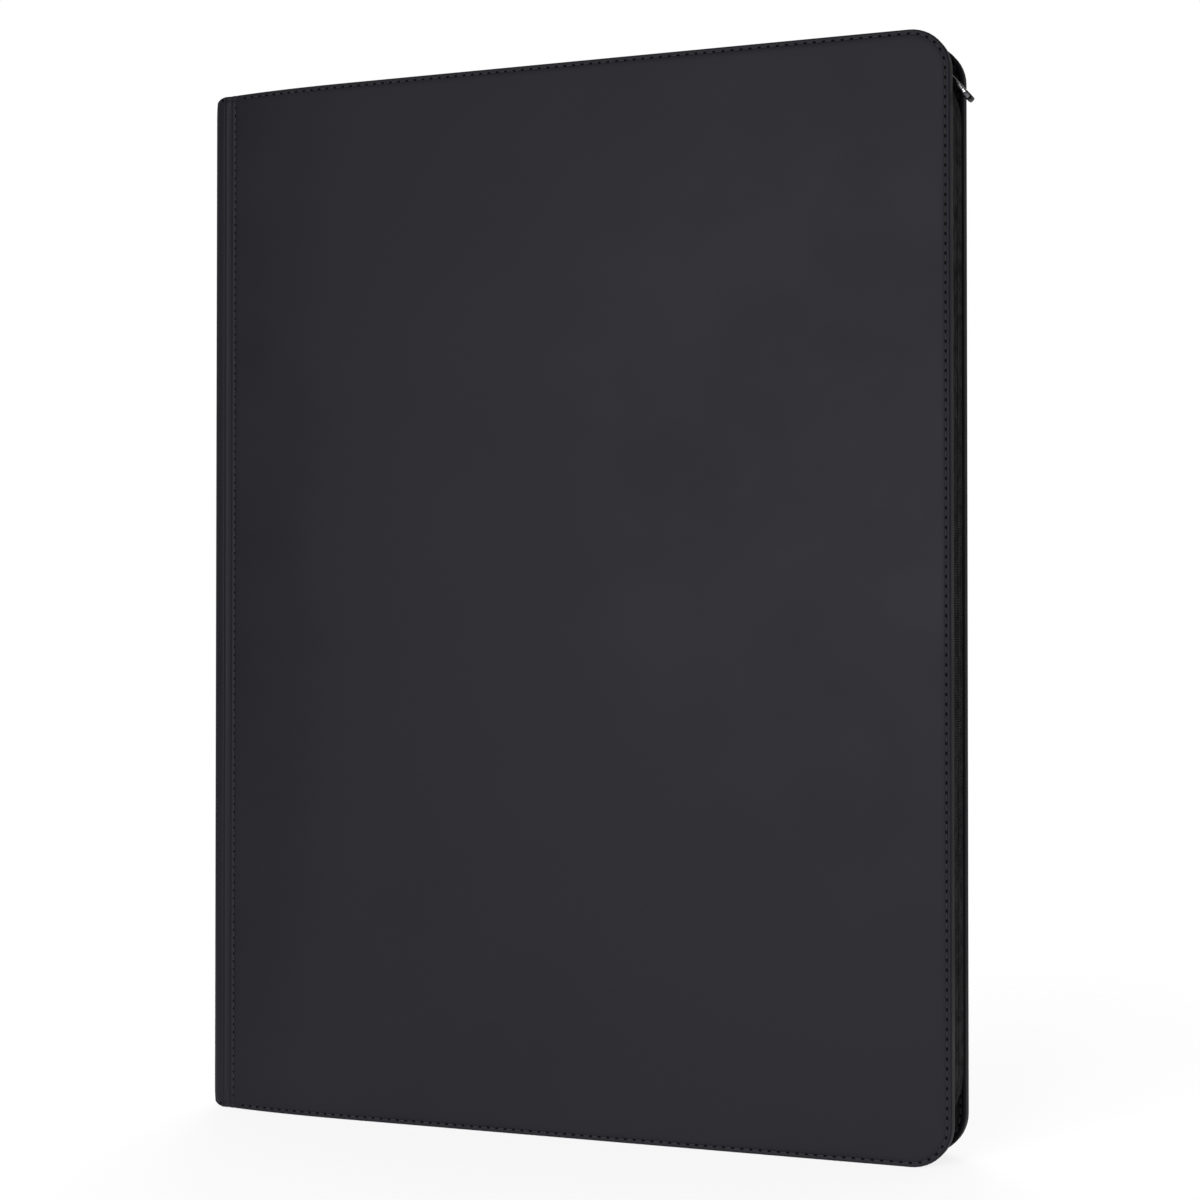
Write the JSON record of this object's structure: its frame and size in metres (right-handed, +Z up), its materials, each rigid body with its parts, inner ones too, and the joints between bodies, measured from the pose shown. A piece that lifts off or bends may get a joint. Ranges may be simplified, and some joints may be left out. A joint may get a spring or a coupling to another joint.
{
  "type": "trading card binder",
  "caption": "Zip-up binder for trading cards: padded hinged covers on a rounded spine, turning nine-pocket pages, coil zip with slider and pull.",
  "frame": {"origin": "centre of the bounding box's bottom face: the binder stands on the tail edges of its covers", "axes": "+Z up along the spine, +X from the spine towards the fore edge, -Y towards the viewer, out of the front cover"},
  "size_m": [0.2668, 0.026, 0.35],
  "materials": {
    "leatherette": "matte, very fine grain",
    "foam": "open-cell sheet foam",
    "greyboard": "raw",
    "lining_cloth": "smooth lining",
    "page_film": "clear film over a dark sheet",
    "tape_cloth": "woven tape",
    "coil_nylon": "satin nylon",
    "gunmetal": "gunmetal plating"
  },
  "bodies": {
    "back_cover": {"back_cover_skin": "leatherette", "back_cover_padding": "foam", "back_cover_board": "greyboard", "back_cover_lining": "lining_cloth", "back_zip_tape": "tape_cloth", "back_zip_coil": "coil_nylon", "back_zip_top_stop": "gunmetal", "back_zip_bottom_stop": "gunmetal"},
    "spine": {"spine_skin": "leatherette", "spine_board": "greyboard", "spine_lining": "lining_cloth", "page_binding_strip": "lining_cloth", "page_margins": "page_film"},
    "front_cover": {"front_cover_skin": "leatherette", "front_cover_padding": "foam", "front_cover_board": "greyboard", "front_cover_lining": "lining_cloth", "front_zip_tape": "tape_cloth", "front_zip_coil": "coil_nylon", "front_zip_top_stop": "gunmetal", "front_zip_bottom_stop": "gunmetal"},
    "zip_slider": {"zip_slider": "gunmetal"},
    "zip_pull": {"zip_pull": "gunmetal"},
    "page_01": {"page_01": "page_film"},
    "page_02": {"page_02": "page_film"},
    "page_03": {"page_03": "page_film"},
    "page_04": {"page_04": "page_film"},
    "page_05": {"page_05": "page_film"},
    "page_06": {"page_06": "page_film"},
    "page_07": {"page_07": "page_film"},
    "page_08": {"page_08": "page_film"},
    "page_09": {"page_09": "page_film"},
    "page_10": {"page_10": "page_film"},
    "page_11": {"page_11": "page_film"},
    "page_12": {"page_12": "page_film"},
    "page_13": {"page_13": "page_film"},
    "page_14": {"page_14": "page_film"},
    "page_15": {"page_15": "page_film"},
    "page_16": {"page_16": "page_film"},
    "page_17": {"page_17": "page_film"},
    "page_18": {"page_18": "page_film"},
    "page_19": {"page_19": "page_film"},
    "page_20": {"page_20": "page_film"}
  },
  "joints": [
    {"name": "rear_hinge", "type": "hinge", "parent": "back_cover", "child": "spine", "pos_m": [-0.12523, 0.009, 0], "axis": [0, 0, -1], "range_deg": [0, 90]},
    {"name": "front_hinge", "type": "hinge", "parent": "spine", "child": "front_cover", "pos_m": [-0.12523, -0.009, 0], "axis": [0, 0, -1], "range_deg": [0, 90], "deforming": ["page_margins"]},
    {"name": "page_01_turn", "type": "hinge", "parent": "spine", "child": "page_01", "pos_m": [-0.12023, -0.00627, 0], "axis": [0, 0, -1], "range_deg": [0, 90]},
    {"name": "page_02_turn", "type": "hinge", "parent": "spine", "child": "page_02", "pos_m": [-0.11957, -0.00561, 0], "axis": [0, 0, -1], "range_deg": [0, 90]},
    {"name": "page_03_turn", "type": "hinge", "parent": "spine", "child": "page_03", "pos_m": [-0.11891, -0.00495, 0], "axis": [0, 0, -1], "range_deg": [0, 90]},
    {"name": "page_04_turn", "type": "hinge", "parent": "spine", "child": "page_04", "pos_m": [-0.11825, -0.00429, 0], "axis": [0, 0, -1], "range_deg": [0, 90]},
    {"name": "page_05_turn", "type": "hinge", "parent": "spine", "child": "page_05", "pos_m": [-0.11759, -0.00363, 0], "axis": [0, 0, -1], "range_deg": [0, 90]},
    {"name": "page_06_turn", "type": "hinge", "parent": "spine", "child": "page_06", "pos_m": [-0.11693, -0.00297, 0], "axis": [0, 0, -1], "range_deg": [0, 90]},
    {"name": "page_07_turn", "type": "hinge", "parent": "spine", "child": "page_07", "pos_m": [-0.11627, -0.00231, 0], "axis": [0, 0, -1], "range_deg": [0, 90]},
    {"name": "page_08_turn", "type": "hinge", "parent": "spine", "child": "page_08", "pos_m": [-0.11561, -0.00165, 0], "axis": [0, 0, -1], "range_deg": [0, 90]},
    {"name": "page_09_turn", "type": "hinge", "parent": "spine", "child": "page_09", "pos_m": [-0.11495, -0.00099, 0], "axis": [0, 0, -1], "range_deg": [0, 90]},
    {"name": "page_10_turn", "type": "hinge", "parent": "spine", "child": "page_10", "pos_m": [-0.11429, -0.00033, 0], "axis": [0, 0, -1], "range_deg": [0, 90]},
    {"name": "page_11_turn", "type": "hinge", "parent": "spine", "child": "page_11", "pos_m": [-0.11429, 0.00033, 0], "axis": [0, 0, -1], "range_deg": [-90, 0]},
    {"name": "page_12_turn", "type": "hinge", "parent": "spine", "child": "page_12", "pos_m": [-0.11495, 0.00099, 0], "axis": [0, 0, -1], "range_deg": [-90, 0]},
    {"name": "page_13_turn", "type": "hinge", "parent": "spine", "child": "page_13", "pos_m": [-0.11561, 0.00165, 0], "axis": [0, 0, -1], "range_deg": [-90, 0]},
    {"name": "page_14_turn", "type": "hinge", "parent": "spine", "child": "page_14", "pos_m": [-0.11627, 0.00231, 0], "axis": [0, 0, -1], "range_deg": [-90, 0]},
    {"name": "page_15_turn", "type": "hinge", "parent": "spine", "child": "page_15", "pos_m": [-0.11693, 0.00297, 0], "axis": [0, 0, -1], "range_deg": [-90, 0]},
    {"name": "page_16_turn", "type": "hinge", "parent": "spine", "child": "page_16", "pos_m": [-0.11759, 0.00363, 0], "axis": [0, 0, -1], "range_deg": [-90, 0]},
    {"name": "page_17_turn", "type": "hinge", "parent": "spine", "child": "page_17", "pos_m": [-0.11825, 0.00429, 0], "axis": [0, 0, -1], "range_deg": [-90, 0]},
    {"name": "page_18_turn", "type": "hinge", "parent": "spine", "child": "page_18", "pos_m": [-0.11891, 0.00495, 0], "axis": [0, 0, -1], "range_deg": [-90, 0]},
    {"name": "page_19_turn", "type": "hinge", "parent": "spine", "child": "page_19", "pos_m": [-0.11957, 0.00561, 0], "axis": [0, 0, -1], "range_deg": [-90, 0]},
    {"name": "page_20_turn", "type": "hinge", "parent": "spine", "child": "page_20", "pos_m": [-0.12023, 0.00627, 0], "axis": [0, 0, -1], "range_deg": [-90, 0]},
    {"name": "zip_travel", "type": "hinge", "parent": "back_cover", "child": "zip_slider", "pos_m": [0.10137, 0, 0.3228], "axis": [0, 1, 0], "range_deg": [-40, 26]},
    {"name": "pull_swing", "type": "hinge", "parent": "zip_slider", "child": "zip_pull", "pos_m": [0.12278, 0, 0.34154], "axis": [0, -1, 0], "range_deg": [0, 160]}
  ],
  "couplings": [
    {"joint": "page_01_turn", "follows": "front_hinge", "ratio": 1},
    {"joint": "page_02_turn", "follows": "front_hinge", "ratio": 0.9933},
    {"joint": "page_03_turn", "follows": "front_hinge", "ratio": 0.9867},
    {"joint": "page_04_turn", "follows": "front_hinge", "ratio": 0.98},
    {"joint": "page_05_turn", "follows": "front_hinge", "ratio": 0.9733},
    {"joint": "page_06_turn", "follows": "front_hinge", "ratio": 0.9667},
    {"joint": "page_07_turn", "follows": "front_hinge", "ratio": 0.96},
    {"joint": "page_08_turn", "follows": "front_hinge", "ratio": 0.9533},
    {"joint": "page_09_turn", "follows": "front_hinge", "ratio": 0.9467},
    {"joint": "page_10_turn", "follows": "front_hinge", "ratio": 0.94},
    {"joint": "page_11_turn", "follows": "rear_hinge", "ratio": -0.94},
    {"joint": "page_12_turn", "follows": "rear_hinge", "ratio": -0.9467},
    {"joint": "page_13_turn", "follows": "rear_hinge", "ratio": -0.9533},
    {"joint": "page_14_turn", "follows": "rear_hinge", "ratio": -0.96},
    {"joint": "page_15_turn", "follows": "rear_hinge", "ratio": -0.9667},
    {"joint": "page_16_turn", "follows": "rear_hinge", "ratio": -0.9733},
    {"joint": "page_17_turn", "follows": "rear_hinge", "ratio": -0.98},
    {"joint": "page_18_turn", "follows": "rear_hinge", "ratio": -0.9867},
    {"joint": "page_19_turn", "follows": "rear_hinge", "ratio": -0.9933},
    {"joint": "page_20_turn", "follows": "rear_hinge", "ratio": -1}
  ]
}
